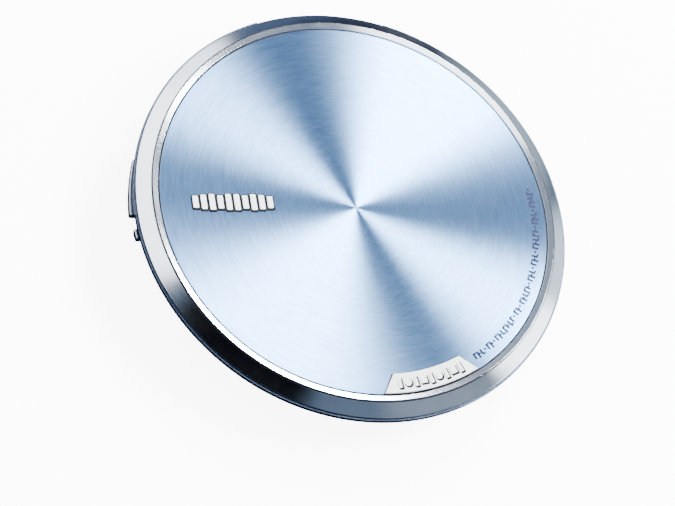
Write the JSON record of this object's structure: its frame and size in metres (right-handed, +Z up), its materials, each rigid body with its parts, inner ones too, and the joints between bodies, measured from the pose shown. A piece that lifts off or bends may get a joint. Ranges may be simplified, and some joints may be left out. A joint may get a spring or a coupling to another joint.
{
  "type": "portable cd player",
  "caption": "Thin round portable disc player: brushed lid disc in a satin ring, tapered dark case with side keys, opening lid, turntable, sliding pickup and cells under a sliding door.",
  "frame": {"origin": "on the disc's axis, level with the underside of the feet", "axes": "+Z up out of the lid, +Y to the hinge at the rear, -Y to the front, +X to the right"},
  "size_m": [0.1396, 0.1378, 0.0183],
  "materials": {
    "ring_metal": "satin, dyed slightly blue",
    "disc_metal": "circularly brushed",
    "badge_metal": "fine satin",
    "band_metal": "satin",
    "key_metal": "satin",
    "steel": "plain",
    "brass": "plain",
    "shell_plastic": "fine spark texture",
    "tray_plastic": "fine spark texture",
    "black_plastic": "moulded",
    "white_plastic": "moulded",
    "rubber": "matte",
    "board": "coated laminate",
    "cell_wrap": "shrink sleeve",
    "lens_glass": "coated"
  },
  "bodies": {
    "case": {"side_band": "band_metal", "hinge_pin": "steel", "hinge_spring": "steel", "case_screw_1": "steel", "case_screw_2": "steel", "case_screw_3": "steel", "case_screw_4": "steel", "spindle_motor": "steel", "mech_chassis": "steel", "guide_rod_left": "steel", "guide_rod_right": "steel", "feed_gear_axle": "steel", "feed_motor": "steel", "cell_spring_1": "steel", "cell_spring_2": "steel", "capacitor": "steel", "cell_contact_plate": "brass", "lower_shell": "shell_plastic", "disc_tray": "tray_plastic", "hinge_bracket": "black_plastic", "headphone_jack": "black_plastic", "power_jack": "black_plastic", "decoder_chip": "black_plastic", "memory_chip": "black_plastic", "lid_switch": "black_plastic", "cell_bay": "black_plastic", "foot_1": "rubber", "foot_2": "rubber", "foot_3": "rubber", "foot_4": "rubber", "damper_1": "rubber", "damper_2": "rubber", "damper_3": "rubber", "main_board": "board", "battery_cell_1": "cell_wrap", "battery_cell_2": "cell_wrap"},
    "lid": {"lid_ring": "ring_metal", "lid_disc": "disc_metal", "lid_badge": "badge_metal", "lid_liner": "tray_plastic", "lid_hinge_arm_left": "black_plastic", "lid_hinge_arm_right": "black_plastic", "lid_latch_hook": "black_plastic", "lid_switch_pin": "black_plastic"},
    "turntable": {"turntable": "tray_plastic", "turntable_pad": "rubber", "spindle_shaft": "steel"},
    "sled": {"pickup_sled": "steel", "sled_rack": "white_plastic"},
    "lens": {"lens_holder": "black_plastic", "objective_lens": "lens_glass"},
    "feed_gear": {"feed_gear": "white_plastic"},
    "feed_pinion": {"feed_pinion": "white_plastic", "feed_shaft": "steel"},
    "open_slider": {"open_slider": "key_metal"},
    "play_button": {"play_button": "key_metal"},
    "stop_button": {"stop_button": "key_metal"},
    "volume_rocker": {"volume_rocker": "key_metal"},
    "hold_switch": {"hold_switch": "black_plastic"},
    "battery_door": {"battery_door": "shell_plastic"}
  },
  "joints": [
    {"name": "lid_hinge", "type": "hinge", "parent": "case", "child": "lid", "pos_m": [0, 0.0658, 0.0122], "axis": [-1, 0, 0], "range_deg": [0, 78]},
    {"name": "disc_spin", "type": "hinge", "parent": "case", "child": "turntable", "pos_m": [0, 0, 0.0123], "axis": [0, 0, 1], "continuous": true},
    {"name": "sled_slide", "type": "slide", "parent": "case", "child": "sled", "axis": [0, -1, 0], "range_m": [0, 0.0325]},
    {"name": "focus_slide", "type": "slide", "parent": "sled", "child": "lens", "axis": [0, 0, 1], "range_m": [-0.0004, 0.0004], "stiffness_N_per_m": 60},
    {"name": "feed_gear_spin", "type": "hinge", "parent": "case", "child": "feed_gear", "pos_m": [0.0239, -0.0225, 0.0079], "axis": [0, 0, 1], "range_deg": [0, 310.85]},
    {"name": "feed_pinion_spin", "type": "hinge", "parent": "case", "child": "feed_pinion", "pos_m": [0.03104, -0.02798, 0.0079], "axis": [0, 0, 1], "range_deg": [-621.7, 0]},
    {"name": "slider_turn", "type": "hinge", "parent": "case", "child": "open_slider", "pos_m": [0, 0, 0.0107], "axis": [0, 0, 1], "range_deg": [0, 2], "stiffness_Nm_per_rad": 0.8},
    {"name": "play_press", "type": "slide", "parent": "case", "child": "play_button", "axis": [0.996, 0.0889, 0], "range_m": [0, 0.0005], "stiffness_N_per_m": 400},
    {"name": "stop_press", "type": "slide", "parent": "case", "child": "stop_button", "axis": [-0.8988, 0.4384, 0], "range_m": [0, 0.0005], "stiffness_N_per_m": 400},
    {"name": "volume_rock", "type": "hinge", "parent": "case", "child": "volume_rocker", "pos_m": [0.06456, -0.01372, 0.01075], "axis": [0, 0, 1], "range_deg": [-2, 2], "stiffness_Nm_per_rad": 0.08},
    {"name": "hold_turn", "type": "hinge", "parent": "case", "child": "hold_switch", "pos_m": [0, 0, 0.0107], "axis": [0, 0, 1], "range_deg": [0, 2]},
    {"name": "door_slide", "type": "slide", "parent": "case", "child": "battery_door", "axis": [0, 1, 0], "range_m": [0, 0.009]}
  ],
  "couplings": [
    {"joint": "feed_gear_spin", "follows": "sled_slide", "rad_per_m": 166.67},
    {"joint": "feed_pinion_spin", "follows": "sled_slide", "rad_per_m": -333.33}
  ]
}
